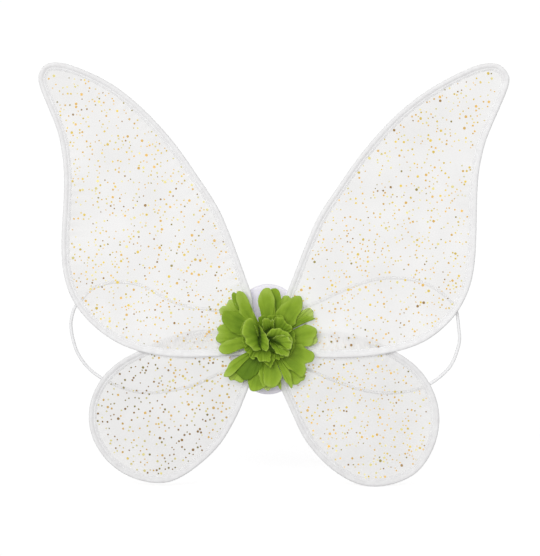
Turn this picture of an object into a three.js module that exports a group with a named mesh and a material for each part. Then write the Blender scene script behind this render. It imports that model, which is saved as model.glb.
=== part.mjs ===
// Child's fairy wings: four wire-framed mesh wings sewn to a felt pad, with a chiffon flower
// in front and an elastic shoulder strap on each side.
//
// The wings stand upright as they are worn. X runs to the right, Z up, and the flower faces -Y.
// The origin is the centre of the pad's rear face, which rests on the wearer's back.
// All lengths are in millimetres.

import * as THREE from 'three';

// ---------- driving dimensions ----------

const WIRE_RADIUS = 0.8; // spring steel wire in each wing's rim
const WIRE_SIDES = 6;

const RIM_RADIUS = 1.6; // binding rolled round the wire
const RIM_BORE = 1.15; // room for the wire inside the roll
const RIM_OFFSET = 1.8; // wing's outer edge to the wire's centreline
const FLAP_REACH = 5.6; // wire's centreline to the binding's stitched inner edge
const FLAP_OUTER = 1.15; // half the thickness across the two flaps
const FLAP_INNER = 0.55; // half the slot that holds the mesh panel

const PANEL_THICKNESS = 0.5;
const PANEL_OFFSET = 3.4; // wing's outer edge to the edge of the mesh inside the binding

const STEPS_PER_POINT = 2; // straight stretches of rim between two points of a wing's outline

// Depths of the layers, measured forwards (-Y) from the pad's rear face.
const PAD_THICKNESS = 3.0;
const STRAP_DEPTH = 4.9;
const LOWER_WING_DEPTH = 8.4;
const UPPER_WING_DEPTH = 11.9;
const FLOWER_BASE_DEPTH = 13.9;
const PETAL_DEPTH = 16.2;
const PETAL_LEVEL = 1.7; // from one level of outer petals to the next
const MIDDLE_PETAL_DEPTH = 21.6;
const ROSETTE_DEPTH = 23.2;

// Each wing bends on a vertical line where its outer wires leave the pad.
const WING_HINGE_X = 23;
const HINGE_GAP = 1.2; // from the bend line to the wires on each side of it

const PAD_HALF_WIDTH = 41;
const PAD_HALF_HEIGHT = 55.5;

const STRAP_RADIUS = 1.6;
const STRAP_SIDES = 8;
const STRAP_HINGE_X = 38; // vertical line beside the pad on which a loop swings back
const STRAP_TAIL_INNER_X = 15;

const SLEEVE_BORE = 1.15;
const SLEEVE_RADIUS = 1.55;
const SLEEVE_LENGTH = 12;

const FLOWER_BASE_RADIUS = 20;
const FLOWER_BASE_THICKNESS = 1.8;
const PETAL_THICKNESS = 1.2;
const PETAL_LEVELS = 3; // neighbouring petals lie on different levels
const PETAL_ROOT = 7; // distance of a petal's sewn end from the flower's centre
const PETAL_ROOT_HALF = 1.8;
const MIDDLE_PETALS = 6;
const MIDDLE_PETAL_RADIUS = 34;
const CUP_WALL = 1.2;
const CUP_SIDES = 30;
const OUTER_CUP = {
  depth: ROSETTE_DEPTH, footRadius: 7, rimRadius: 24, height: 17, waves: 5, sway: 2.4,
};
const INNER_CUP = {
  depth: ROSETTE_DEPTH + 1.6, footRadius: 4.5, rimRadius: 13, height: 18, waves: 4, sway: 1.8,
};

const THREAD_RADIUS = 0.9;
const THREAD_HOLE_RADIUS = 1.4;
const THREAD_BACK_DEPTH = PAD_THICKNESS + 0.3;
const THREAD_FRONT_DEPTH = INNER_CUP.depth + CUP_WALL + 0.3;
const KNOT_RADIUS = 2.2;

// Outer edge of each wing as (x, z), from the upper wire's bend line round to the lower one's.
const WING_OUTLINES = {
  upper_left: [
    [-25, 68], [-48, 127], [-70, 162], [-94, 196], [-123, 228], [-155, 254], [-187, 270],
    [-207, 276], [-222, 274.5], [-229, 263], [-226, 248], [-210, 208], [-204, 172], [-204, 138],
    [-206, 100], [-204, 66], [-194, 38], [-172, 12], [-144, -6], [-112, -15], [-80, -17.5],
    [-25, -15],
  ],
  upper_right: [
    [25, 62], [49, 120], [69, 151], [93, 185], [125, 221], [157, 247], [193, 267],
    [215, 275], [231, 274], [240.5, 262], [237, 246], [218, 201], [210, 166], [208, 127],
    [207, 91], [202, 56], [186, 24], [157, -1], [122, -13], [86, -17.5], [47, -17.5], [25, -15],
  ],
  lower_left: [
    [-25, 10], [-70, 9], [-103, 1], [-126, -10], [-148, -22], [-167, -40], [-178, -65],
    [-178, -90], [-167, -114], [-148, -132], [-123, -142], [-98, -142], [-73, -128],
    [-48, -104], [-31, -75], [-25, -61],
  ],
  lower_right: [
    [25, 8], [66, 8], [101, 0], [125, -11], [150, -29], [166, -54], [171, -82],
    [164, -111], [147, -134], [118, -146], [90, -144.5], [62, -128], [37, -100], [25, -76],
  ],
};

// Centreline of each strap loop as (x, z), from its upper end on the pad to its lower end.
const STRAP_ROUTES = {
  left: [
    [-39, 25], [-48, 28], [-80, 33], [-99, 39], [-124, 53], [-142, 57], [-157, 57], [-169, 54],
    [-179, 49], [-187, 40], [-194, 32], [-197, 22], [-198, 15], [-196, 1], [-191, -14],
    [-181, -28], [-167, -39], [-142, -50], [-124, -53.5], [-109, -53], [-91, -50], [-72, -45],
    [-53, -36], [-39, -30],
  ],
  right: [
    [39, 33], [64, 44], [90, 55], [113, 61], [137, 61], [158, 56], [177, 44], [188, 31],
    [191, 12], [192, 0], [189, -13], [182, -28], [160, -46], [140, -52], [117, -54], [95, -51],
    [73, -44], [51, -35], [39, -30],
  ],
};
const STRAP_STEPS = 44;

// Outer petals of the flower: the direction each points, in degrees from +X towards +Z, the
// distance of its tip from the flower's centre, and its width.
const OUTER_PETALS = [
  [125, 52, 25], [90, 51, 26], [50, 50, 25], [27, 49, 15], [2, 48, 24], [-28, 47, 24],
  [-60, 51, 25], [-90, 50, 24], [-125, 49, 20], [-158, 48, 22], [168, 51, 26],
];

// ---------- materials ----------

const steel = new THREE.MeshStandardMaterial({ color: 0xa8abb0, roughness: 0.35, metalness: 1 });
const crimp = new THREE.MeshStandardMaterial({ color: 0x8f9296, roughness: 0.4, metalness: 1 });
const binding = new THREE.MeshStandardMaterial({ color: 0xeeeef0, roughness: 0.75 });
const mesh = new THREE.MeshStandardMaterial({ color: 0xf7f6f2, roughness: 0.6 });
const felt = new THREE.MeshStandardMaterial({ color: 0xe6e4f2, roughness: 0.95 });
const elastic = new THREE.MeshStandardMaterial({ color: 0xf3f3f5, roughness: 0.8 });
const chiffon = new THREE.MeshStandardMaterial({ color: 0x7fb02e, roughness: 0.85 });
const thread = new THREE.MeshStandardMaterial({ color: 0x6f9c2a, roughness: 0.8 });

// ---------- helpers ----------

const wings = new THREE.Group();

function addPiece(name, geometry, material) {
  const piece = new THREE.Mesh(geometry, material);
  piece.name = name;
  wings.add(piece);
  return piece;
}

function sideSign(side) {
  return side.endsWith('left') ? -1 : 1;
}

// A smooth line through (x, z) points at one depth.
function lineAtDepth(points, depth) {
  const corners = points.map(([x, z]) => new THREE.Vector3(x, -depth, z));
  return new THREE.CatmullRomCurve3(corners, false, 'centripetal');
}

// A line that keeps a constant distance inside a wing's outer edge.
class InsetLine extends THREE.Curve {
  constructor(edge, side, distance) {
    super();
    this.edge = edge;
    this.distance = -sideSign(side) * distance;
  }

  getPoint(t, target = new THREE.Vector3()) {
    const tangent = this.edge.getTangent(t);
    const inwards = new THREE.Vector3(-tangent.z, 0, tangent.x);
    return target.copy(this.edge.getPoint(t)).addScaledVector(inwards, this.distance);
  }

  // Steps are even between the outline's points, so they are shorter round the tight bends.
  getPointAt(t, target) {
    return this.getPoint(t, target);
  }

  getTangentAt(t, target) {
    return this.getTangent(t, target);
  }
}

// A flat piece of cloth or felt: (x, z) corners, with its rear face at a depth.
function plate(shape, depth, thickness, curveSegments = 12) {
  const geometry = new THREE.ExtrudeGeometry(shape, {
    depth: thickness, bevelEnabled: false, curveSegments,
  });
  geometry.rotateX(Math.PI / 2);
  geometry.translate(0, -depth, 0);
  return geometry;
}

function roundShape(radius, sides) {
  const corners = [];
  for (let i = 0; i < sides; i += 1) {
    const angle = (i * 2 * Math.PI) / sides;
    corners.push(new THREE.Vector2(radius * Math.cos(angle), radius * Math.sin(angle)));
  }
  return new THREE.Shape(corners);
}

function sweep(shape, path, steps) {
  return new THREE.ExtrudeGeometry(shape, { extrudePath: path, steps, bevelEnabled: false });
}

// ---------- wing rims and panels ----------

function wingDepth(wing) {
  return wing.startsWith('upper') ? UPPER_WING_DEPTH : LOWER_WING_DEPTH;
}

function wingSteps(wing) {
  return (WING_OUTLINES[wing].length - 1) * STEPS_PER_POINT;
}

// Points on a circle round the wire, from one angle to another, as [depth, inwards].
function rollPoints(radius, fromAngle, toAngle, count) {
  const points = [];
  for (let i = 0; i < count; i += 1) {
    const angle = fromAngle + ((toAngle - fromAngle) * i) / (count - 1);
    points.push([radius * Math.sin(angle), radius * Math.cos(angle)]);
  }
  return points;
}

// Cross-section of the folded binding: a roll round the wire, open towards the wing between
// two flaps that hold the mesh.
function bindingSection(wing) {
  const outerStart = Math.asin(FLAP_OUTER / RIM_RADIUS);
  const innerStart = Math.asin(FLAP_INNER / RIM_BORE);
  const outline = [
    [FLAP_OUTER, FLAP_REACH],
    ...rollPoints(RIM_RADIUS, outerStart, 2 * Math.PI - outerStart, 5),
    [-FLAP_OUTER, FLAP_REACH],
    [-FLAP_INNER, FLAP_REACH],
    ...rollPoints(RIM_BORE, 2 * Math.PI - innerStart, innerStart, 5),
    [FLAP_INNER, FLAP_REACH],
  ];
  const side = sideSign(wing);
  return new THREE.Shape(outline.map(([depth, inwards]) => new THREE.Vector2(depth, side * inwards)));
}

function addWing(wing) {
  const depth = wingDepth(wing);
  const steps = wingSteps(wing);
  const edge = lineAtDepth(WING_OUTLINES[wing], depth);
  const wireLine = new InsetLine(edge, wing, RIM_OFFSET);
  addPiece(`${wing}_wire`, sweep(roundShape(WIRE_RADIUS, WIRE_SIDES), wireLine, steps), steel);
  addPiece(`${wing}_binding`, sweep(bindingSection(wing), wireLine, steps), binding);

  const panelEdge = new InsetLine(edge, wing, PANEL_OFFSET).getPoints(steps);
  const panelShape = new THREE.Shape(panelEdge.map((p) => new THREE.Vector2(p.x, p.z)));
  const panelBack = depth - PANEL_THICKNESS / 2;
  addPiece(`${wing}_mesh`, plate(panelShape, panelBack, PANEL_THICKNESS), mesh);
}

// ---------- wire roots and crimp sleeves behind the flower ----------

// Each wing's wire loop is closed behind the flower by a sleeve, which stands upright at this x
// and z. The two wire ends meet in it.
const SLEEVES = {
  upper: { x: 17, z: 17 },
  lower: { x: 10, z: -19 },
};

// How far a root wire runs straight into its sleeve, and the sleeve's clearance from the ends.
const SLEEVE_ENTRY = 10;
const WIRE_END_GAP = 0.2;

// Position and heading of a wing's wire where it crosses to the pad: at its first or last end.
function rootEnd(wing, last) {
  const edge = lineAtDepth(WING_OUTLINES[wing], wingDepth(wing));
  const wireLine = new InsetLine(edge, wing, RIM_OFFSET);
  const t = last ? 1 : 0;
  const point = wireLine.getPoint(t);
  const heading = wireLine.edge.getTangent(t).multiplyScalar(last ? 1 : -1);
  return { point, heading };
}

function rootWire(wing, last) {
  const side = sideSign(wing);
  const { point, heading } = rootEnd(wing, last);
  const stubX = side * (WING_HINGE_X - HINGE_GAP);
  const travel = (stubX - point.x) / heading.x;
  const start = point.clone().addScaledVector(heading, travel);
  const sleeve = SLEEVES[wing.split('_')[0]];
  const away = last ? -1 : 1;
  const meet = new THREE.Vector3(side * sleeve.x, point.y, sleeve.z + away * WIRE_END_GAP);
  const entry = meet.clone();
  entry.z += away * SLEEVE_ENTRY;
  const reach = start.distanceTo(entry);
  const bend = new THREE.CubicBezierCurve3(
    start,
    start.clone().addScaledVector(heading, reach * 0.45),
    entry.clone().add(new THREE.Vector3(0, 0, away * reach * 0.35)),
    entry,
  );
  const path = new THREE.CurvePath();
  path.add(bend);
  path.add(new THREE.LineCurve3(entry, meet));
  return sweep(roundShape(WIRE_RADIUS, WIRE_SIDES), path, 10);
}

function crimpSleeve(wing) {
  const half = SLEEVE_LENGTH / 2;
  const profile = [
    [SLEEVE_BORE, -half], [SLEEVE_RADIUS, -half], [SLEEVE_RADIUS, half], [SLEEVE_BORE, half],
    [SLEEVE_BORE, -half],
  ];
  const geometry = new THREE.LatheGeometry(profile.map(([r, h]) => new THREE.Vector2(r, h)), 12);
  const sleeve = SLEEVES[wing.split('_')[0]];
  geometry.rotateX(Math.PI / 2);
  geometry.translate(sideSign(wing) * sleeve.x, -wingDepth(wing), sleeve.z);
  return geometry;
}

// ---------- pad, straps and flower ----------

function addPad() {
  const oval = new THREE.Shape();
  oval.absellipse(0, 0, PAD_HALF_WIDTH, PAD_HALF_HEIGHT, 0, 2 * Math.PI);
  addPiece('back_pad', plate(oval, 0, PAD_THICKNESS, 48), felt);
}

function strapPath(points) {
  return lineAtDepth(points, STRAP_DEPTH);
}

function addStrap(side) {
  const section = roundShape(STRAP_RADIUS, STRAP_SIDES);
  const route = STRAP_ROUTES[side];
  addPiece(`${side}_strap_loop`, sweep(section, strapPath(route), STRAP_STEPS), elastic);
  const ends = { upper: route[0], lower: route[route.length - 1] };
  for (const [end, [, z]] of Object.entries(ends)) {
    const outer = sideSign(side) * (STRAP_HINGE_X - HINGE_GAP / 2);
    const inner = sideSign(side) * STRAP_TAIL_INNER_X;
    const path = new THREE.LineCurve3(
      new THREE.Vector3(outer, -STRAP_DEPTH, z),
      new THREE.Vector3(inner, -STRAP_DEPTH, z - Math.sign(z) * 4),
    );
    addPiece(`${side}_strap_${end}_end`, sweep(section, path, 3), elastic);
  }
}

function threadHole() {
  const hole = new THREE.Path();
  hole.absarc(0, 0, THREAD_HOLE_RADIUS, 0, 2 * Math.PI, true);
  return hole;
}

function addFlowerBase() {
  const disc = roundShape(FLOWER_BASE_RADIUS, 32);
  disc.holes.push(threadHole());
  addPiece('flower_base', plate(disc, FLOWER_BASE_DEPTH, FLOWER_BASE_THICKNESS, 5), felt);
}

// One folded petal pointing along +X: narrow where it is sewn, widest two thirds of the way out.
function petalShape(length, width) {
  const half = width / 2;
  const shape = new THREE.Shape();
  shape.moveTo(PETAL_ROOT, -PETAL_ROOT_HALF);
  shape.bezierCurveTo(length * 0.35, -half * 0.75, length * 0.55, -half * 1.15, length * 0.8, -half);
  shape.quadraticCurveTo(length, -half * 0.85, length, 0);
  shape.quadraticCurveTo(length, half * 0.85, length * 0.8, half);
  shape.bezierCurveTo(length * 0.55, half * 1.15, length * 0.35, half * 0.75, PETAL_ROOT, PETAL_ROOT_HALF);
  return shape;
}

function addOuterPetals() {
  OUTER_PETALS.forEach(([degrees, length, width], index) => {
    const depth = PETAL_DEPTH + (index % PETAL_LEVELS) * PETAL_LEVEL;
    const petal = plate(petalShape(length, width), depth, PETAL_THICKNESS, 4);
    petal.rotateY(-THREE.MathUtils.degToRad(degrees));
    addPiece(`outer_petal_${index + 1}`, petal, chiffon);
  });
}

// A scalloped layer of cloth cut in one piece.
function addMiddlePetals() {
  const corners = [];
  for (let i = 0; i < MIDDLE_PETALS * 8; i += 1) {
    const angle = (i * 2 * Math.PI) / (MIDDLE_PETALS * 8);
    const lobe = Math.abs(Math.cos((MIDDLE_PETALS * angle) / 2)) ** 0.6;
    const radius = MIDDLE_PETAL_RADIUS * (0.62 + 0.38 * lobe);
    corners.push(new THREE.Vector2(radius * Math.cos(angle), radius * Math.sin(angle)));
  }
  const layer = new THREE.Shape(corners);
  layer.holes.push(threadHole());
  addPiece('middle_petals', plate(layer, MIDDLE_PETAL_DEPTH, PETAL_THICKNESS, 5), chiffon);
}

// A ruffled cup that opens forwards: its wall waves in and out more towards the rim.
function addRosetteCup(name, { depth, footRadius, rimRadius, height, waves, sway }) {
  const wall = CUP_WALL;
  const profile = [
    [THREAD_HOLE_RADIUS, 0], [footRadius, 0], [(footRadius + rimRadius) / 2 + 1.5, height * 0.4],
    [rimRadius, height], [rimRadius - wall, height], [(footRadius + rimRadius) / 2 + 0.3, height * 0.4],
    [footRadius - 0.4, wall], [THREAD_HOLE_RADIUS, wall], [THREAD_HOLE_RADIUS, 0],
  ];
  const geometry = new THREE.LatheGeometry(profile.map(([r, h]) => new THREE.Vector2(r, h)), CUP_SIDES);
  const position = geometry.getAttribute('position');
  for (let i = 0; i < position.count; i += 1) {
    const angle = Math.atan2(position.getZ(i), position.getX(i));
    const share = position.getY(i) / height;
    const stretch = 1 + (share ** 2 * sway * Math.sin(waves * angle)) / rimRadius;
    position.setX(i, position.getX(i) * stretch);
    position.setZ(i, position.getZ(i) * stretch);
  }
  geometry.rotateX(Math.PI);
  geometry.translate(0, -depth, 0);
  addPiece(name, geometry, chiffon);
}

function addFlowerThread() {
  const length = THREAD_FRONT_DEPTH - THREAD_BACK_DEPTH;
  const profile = [
    [0, 0], [KNOT_RADIUS, 0], [KNOT_RADIUS, 0.8], [THREAD_RADIUS, 0.8], [THREAD_RADIUS, length],
    [KNOT_RADIUS, length + 0.4], [KNOT_RADIUS, length + 1.8], [0, length + 2.6],
  ];
  const geometry = new THREE.LatheGeometry(profile.map(([r, h]) => new THREE.Vector2(r, h)), 10);
  geometry.rotateX(Math.PI);
  geometry.translate(0, -THREAD_BACK_DEPTH, 0);
  addPiece('flower_thread', geometry, thread);
}

// ---------- assembly ----------

addPad();
for (const side of ['left', 'right']) {
  addStrap(side);
}
for (const wing of Object.keys(WING_OUTLINES)) {
  addWing(wing);
  addPiece(`${wing}_root_wire_top`, rootWire(wing, false), steel);
  addPiece(`${wing}_root_wire_bottom`, rootWire(wing, true), steel);
  addPiece(`${wing}_crimp_sleeve`, crimpSleeve(wing), crimp);
}
addFlowerBase();
addOuterPetals();
addMiddlePetals();
addRosetteCup('rosette_outer_cup', OUTER_CUP);
addRosetteCup('rosette_inner_cup', INNER_CUP);
addFlowerThread();

wings.name = 'fairy_wings';

export default wings;
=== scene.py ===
"""Looks for a child's fairy wings: sheer foil-dotted wings on a felt pad, with a chiffon flower.

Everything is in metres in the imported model's frame: X right, Z up, and the flower faces -Y.
"""

import math
import random
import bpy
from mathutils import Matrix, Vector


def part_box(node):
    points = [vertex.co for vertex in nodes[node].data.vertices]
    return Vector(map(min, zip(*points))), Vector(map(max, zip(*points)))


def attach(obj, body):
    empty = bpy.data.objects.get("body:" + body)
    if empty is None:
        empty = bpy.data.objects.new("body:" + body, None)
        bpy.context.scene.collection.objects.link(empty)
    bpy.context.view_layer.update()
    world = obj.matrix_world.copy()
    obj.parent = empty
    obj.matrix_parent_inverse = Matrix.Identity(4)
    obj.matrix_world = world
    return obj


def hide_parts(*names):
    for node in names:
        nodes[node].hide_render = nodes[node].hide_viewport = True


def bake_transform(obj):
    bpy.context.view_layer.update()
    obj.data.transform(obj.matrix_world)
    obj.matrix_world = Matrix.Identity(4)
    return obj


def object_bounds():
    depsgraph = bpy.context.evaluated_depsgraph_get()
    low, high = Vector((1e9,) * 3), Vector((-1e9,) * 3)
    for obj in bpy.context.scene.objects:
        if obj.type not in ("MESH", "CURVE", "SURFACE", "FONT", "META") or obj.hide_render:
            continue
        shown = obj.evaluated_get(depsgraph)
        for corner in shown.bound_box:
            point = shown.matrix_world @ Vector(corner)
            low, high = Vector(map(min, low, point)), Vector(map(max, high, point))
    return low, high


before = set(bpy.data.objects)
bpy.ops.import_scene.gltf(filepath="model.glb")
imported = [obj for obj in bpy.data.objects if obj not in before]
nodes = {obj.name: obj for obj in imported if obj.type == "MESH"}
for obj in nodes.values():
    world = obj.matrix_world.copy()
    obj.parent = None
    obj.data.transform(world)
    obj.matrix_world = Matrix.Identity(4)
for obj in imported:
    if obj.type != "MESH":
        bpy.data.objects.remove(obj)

from types import SimpleNamespace

import bpy
import numpy as np
from mathutils import Vector, noise
from mathutils.bvhtree import BVHTree
from mathutils.geometry import delaunay_2d_cdt

cad_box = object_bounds()
MM = 0.001
WINGS = ("upper_left", "upper_right", "lower_left", "lower_right")
SIDES = ("left", "right")
collection = bpy.context.scene.collection


def side_of(name):
    """-1 for a piece on the left, 1 for one on the right."""
    return -1 if "left" in name else 1


# ---------------- camera

VIEW_HEIGHT = 556 * MM  # height of the view at the wings
LENS = 100.0
WINGS_Y = -10 * MM
AIM_X, AIM_Z = 1.8 * MM, 61.5 * MM


def make_camera():
    data = bpy.data.cameras.new("camera")
    data.lens = LENS
    camera = bpy.data.objects.new("camera", data)
    collection.objects.link(camera)
    distance = VIEW_HEIGHT / 2 / (data.sensor_width / 2 / data.lens)
    camera.location = (AIM_X, WINGS_Y - distance, AIM_Z)
    camera.rotation_euler = (math.radians(90), 0, 0)
    data.clip_end = 100
    bpy.context.scene.camera = camera


make_camera()


# ---------------- mesh helpers

def set_inputs(node, values):
    for socket, value in values.items():
        node.inputs[socket].default_value = value


def add_object(name, verts, faces, material, uvs=None, tones=None, smooth=True):
    """A mesh object. uvs and tones hold one value for each vertex; a tone is a grey or a colour."""
    mesh = bpy.data.meshes.new(name)
    mesh.from_pydata([tuple(v) for v in verts], [], [tuple(f) for f in faces])
    mesh.update()
    if smooth:
        mesh.polygons.foreach_set("use_smooth", [True] * len(mesh.polygons))
    if uvs is not None:
        layer = mesh.uv_layers.new(name="pattern")
        corner_vertex = np.empty(len(mesh.loops), np.int32)
        mesh.loops.foreach_get("vertex_index", corner_vertex)
        layer.data.foreach_set("uv", np.asarray(uvs, np.float32)[corner_vertex].ravel())
    if tones is not None:
        layer = mesh.color_attributes.new("tone", "FLOAT_COLOR", "POINT")
        colours = np.ones((len(verts), 4), np.float32)
        colours[:, :3] = np.asarray(tones, np.float32).reshape(len(verts), -1)
        layer.data.foreach_set("color", colours.ravel())
    thing = bpy.data.objects.new(name, mesh)
    collection.objects.link(thing)
    mesh.materials.append(material)
    return thing


def thicken(thing, thickness):
    """Gives a sheet's mesh a thickness, half of it on each side."""
    solid = thing.modifiers.new("cloth", "SOLIDIFY")
    solid.thickness = thickness
    solid.offset = 0
    graph = bpy.context.evaluated_depsgraph_get()
    made = bpy.data.meshes.new_from_object(thing.evaluated_get(graph))
    thing.modifiers.clear()
    thing.data = made


def on_hub(piece, material_slot, *stands_for):
    """A piece that keeps still with the back pad."""
    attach(piece, "hub")
    if stands_for:
        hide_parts(*stands_for)


def joined(parts):
    """Several pairs of verts and faces as one pair."""
    verts, faces = [], []
    for v, f in parts:
        faces += [tuple(i + len(verts) for i in face) for face in f]
        verts += v
    return verts, faces


def tube_faces(rings, ring, flip=False):
    """Faces of a closed tube whose vertices come ring by ring."""
    faces = []
    for i in range(rings - 1):
        for k in range(ring):
            a, b = i * ring + k, i * ring + (k + 1) % ring
            faces.append((a, b, b + ring, a + ring))
    faces.append(tuple(reversed(range(ring))))
    faces.append(tuple((rings - 1) * ring + k for k in range(ring)))
    return [face[::-1] for face in faces] if flip else faces


def disc_side(rings, sides, base=0, turn=1):
    """Faces of a round sheet: its rings outwards and then its centre. turn is 1 or -1."""
    faces = []
    for k in range(sides):
        j = (k + 1) % sides
        faces.append((base + rings * sides, base + k, base + j)[::turn])
        for r in range(rings - 1):
            a, b = base + r * sides + k, base + r * sides + j
            faces.append((a, a + sides, b + sides, b)[::turn])
    return faces


def disc_faces(rings, sides):
    """Faces of a solid disc, whose front comes before its back."""
    per_side = rings * sides + 1
    faces = disc_side(rings, sides) + disc_side(rings, sides, per_side, -1)
    for k in range(sides):
        a, b = (rings - 1) * sides + k, (rings - 1) * sides + (k + 1) % sides
        faces.append((a, a + per_side, b + per_side, b))
    return faces


def circle(count, turn=0.0):
    """Cosine and sine of evenly spaced angles."""
    angles = [2 * math.pi * (k + turn) / count for k in range(count)]
    return [(math.cos(angle), math.sin(angle)) for angle in angles]


def arc_lengths(points):
    """Length along a polyline at each of its points."""
    steps = np.linalg.norm(points[1:] - points[:-1], axis=1)
    return np.concatenate([[0.0], np.cumsum(steps)])


def resample(points, spacing, closed=False):
    """Points at an even spacing along a polyline."""
    run = np.vstack([points, points[:1]]) if closed else points
    lengths = arc_lengths(run)
    count = max(3, int(round(lengths[-1] / spacing)))
    at = np.linspace(0, lengths[-1], count + 1)
    if closed:
        at = at[:-1]
    return np.stack([np.interp(at, lengths, run[:, k]) for k in range(run.shape[1])], axis=1)


def catmull_rom(points, steps=8):
    """A smooth open line through points, with centripetal spacing so that it never loops."""
    p = np.vstack([2 * points[0] - points[1], points, 2 * points[-1] - points[-2]])
    line = []
    for i in range(1, len(p) - 2):
        knots = [0.0]
        for a, b in ((i - 1, i), (i, i + 1), (i + 1, i + 2)):
            knots.append(knots[-1] + max(np.linalg.norm(p[b] - p[a]), 1e-9) ** 0.5)
        for t in np.linspace(knots[1], knots[2], steps, endpoint=False):
            level = [p[i - 1], p[i], p[i + 1], p[i + 2]]
            for width in (1, 2, 3):
                level = [
                    (level[k] * (knots[k + width] - t) + level[k + 1] * (t - knots[k]))
                    / (knots[k + width] - knots[k]) for k in range(len(level) - 1)
                ]
            line.append(level[0])
    line.append(p[-2])
    return np.array(line)


def tangents(points):
    along = np.gradient(points, axis=0)
    return along / np.maximum(np.linalg.norm(along, axis=1, keepdims=True), 1e-12)


def wave_noise(seed, x, scale):
    """Smooth noise from -1 to 1 along a length."""
    return noise.noise(Vector((x / scale, seed * 7.31, 0.5))) * 1.6


# ---------------- straps (free cords)

STRAP_DIAMETER = 3.2 * MM
STRAP_Y = -4.9 * MM
# Centreline of each loop as (x, z) in millimetres, from its upper end on the pad to its lower end.
STRAP_ROUTES = {
    "left": (
        (-39, 25), (-48, 28), (-80, 33), (-99, 39), (-124, 53), (-142, 57), (-157, 57),
        (-169, 54), (-179, 49), (-187, 40), (-194, 32), (-197, 22), (-198, 15), (-196, 1),
        (-191, -14), (-181, -28), (-167, -39), (-142, -50), (-124, -53.5), (-109, -53),
        (-91, -50), (-72, -45), (-53, -36), (-39, -30),
    ),
    "right": (
        (39, 33), (64, 44), (90, 55), (113, 61), (137, 61), (158, 56), (177, 44), (188, 31),
        (191, 12), (192, 0), (189, -13), (182, -28), (160, -46), (140, -52), (117, -54),
        (95, -51), (73, -44), (51, -35), (39, -30),
    ),
}
STRAP_TAIL_X = 15 * MM  # inner end of each sewn tail
STRAP_TAIL_DROP = 4 * MM  # the tails run slightly inwards in height
STRAP_RING = 16  # vertices round the cord
STRAP_STEP = 0.55 * MM
BRAID_DEPTH = 0.13 * MM
BRAID_STRANDS = 8
BRAID_PITCH = 5.2 * MM


def strap_line(side):
    route = np.array(STRAP_ROUTES[side], float) * MM
    s = side_of(side)
    top = np.array([s * STRAP_TAIL_X, route[0, 1] - STRAP_TAIL_DROP])
    bottom = np.array([s * STRAP_TAIL_X, route[-1, 1] + STRAP_TAIL_DROP])
    flat = resample(catmull_rom(np.vstack([top, route, bottom])), STRAP_STEP)
    return np.stack([flat[:, 0], np.full(len(flat), STRAP_Y), flat[:, 1]], axis=1)


def braid_swell(angle, along):
    """Height of a round braid's surface: strands that wind both ways and cross."""
    turn = 2 * math.pi * along / BRAID_PITCH
    one = math.sin(BRAID_STRANDS / 2 * angle + turn * 2)
    other = math.sin(BRAID_STRANDS / 2 * angle - turn * 2)
    return max(one, other)


def add_strap(side):
    line = strap_line(side)
    along = tangents(line)
    lengths = arc_lengths(line)
    depth = np.array([0.0, 1.0, 0.0])
    verts, uvs = [], []
    for point, tangent, length in zip(line, along, lengths):
        across = np.cross(tangent, depth)
        for k in range(STRAP_RING):
            angle = 2 * math.pi * k / STRAP_RING
            radius = STRAP_DIAMETER / 2 - BRAID_DEPTH * (1 - braid_swell(angle, length)) / 2
            verts.append(point + radius * (math.cos(angle) * across + math.sin(angle) * depth))
            uvs.append((k / STRAP_RING, length))
    faces = tube_faces(len(line), STRAP_RING, flip=True)
    strap = add_object(f"{side}_elastic_strap", verts, faces, ELASTIC, uvs)
    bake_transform(strap)
    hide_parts(f"{side}_strap_loop", f"{side}_strap_upper_end", f"{side}_strap_lower_end")


# ---------------- light, floor and sky

SKY_LIGHT = 0.43  # radiance of the soft light from all round
SKY_COLOUR = (1, 0.995, 1, 1)
SKY_SEEN = 1.02  # what the sky looks like
FLOOR_SEEN = 1.03
FLOOR_GAP = 0.8 * MM
SUN_TOWARDS = (-0.22, -0.90, 0.30)  # the main soft light is in front, up and to the left
SUN_POWER = 1.88
SUN_SPREAD = math.radians(46)
RIM_TOWARDS = (0.45, 0.80, 0.30)  # a weaker one behind
RIM_POWER = 1.1
PAPER_WHITE = 0.66
FLOOR_HALF = 0.55  # the floor ends where the sky, as white as it is, takes over


def add_sun(name, towards, power):
    data = bpy.data.lights.new(name, "SUN")
    data.energy = power
    data.angle = SUN_SPREAD
    lamp = bpy.data.objects.new(name, data)
    collection.objects.link(lamp)
    lamp.location = Vector(towards) * 3
    lamp.rotation_euler = Vector(towards).to_track_quat("Z", "Y").to_euler()


def make_sky():
    """White to look at, and dimmer as a light, so that white cloth still shows its shape."""
    world = bpy.data.worlds.new("studio")
    bpy.context.scene.world = world
    world.use_nodes = True
    tree = world.node_tree
    tree.nodes.clear()
    output = tree.nodes.new("ShaderNodeOutputWorld")
    path = tree.nodes.new("ShaderNodeLightPath")
    mix = tree.nodes.new("ShaderNodeMixShader")
    tree.links.new(path.outputs["Is Camera Ray"], mix.inputs[0])
    for place, colour, strength in ((1, SKY_COLOUR, SKY_LIGHT), (2, (1, 1, 1, 1), SKY_SEEN)):
        sky = tree.nodes.new("ShaderNodeBackground")
        set_inputs(sky, {"Color": colour, "Strength": strength})
        tree.links.new(sky.outputs[0], mix.inputs[place])
    tree.links.new(mix.outputs[0], output.inputs[0])


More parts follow.
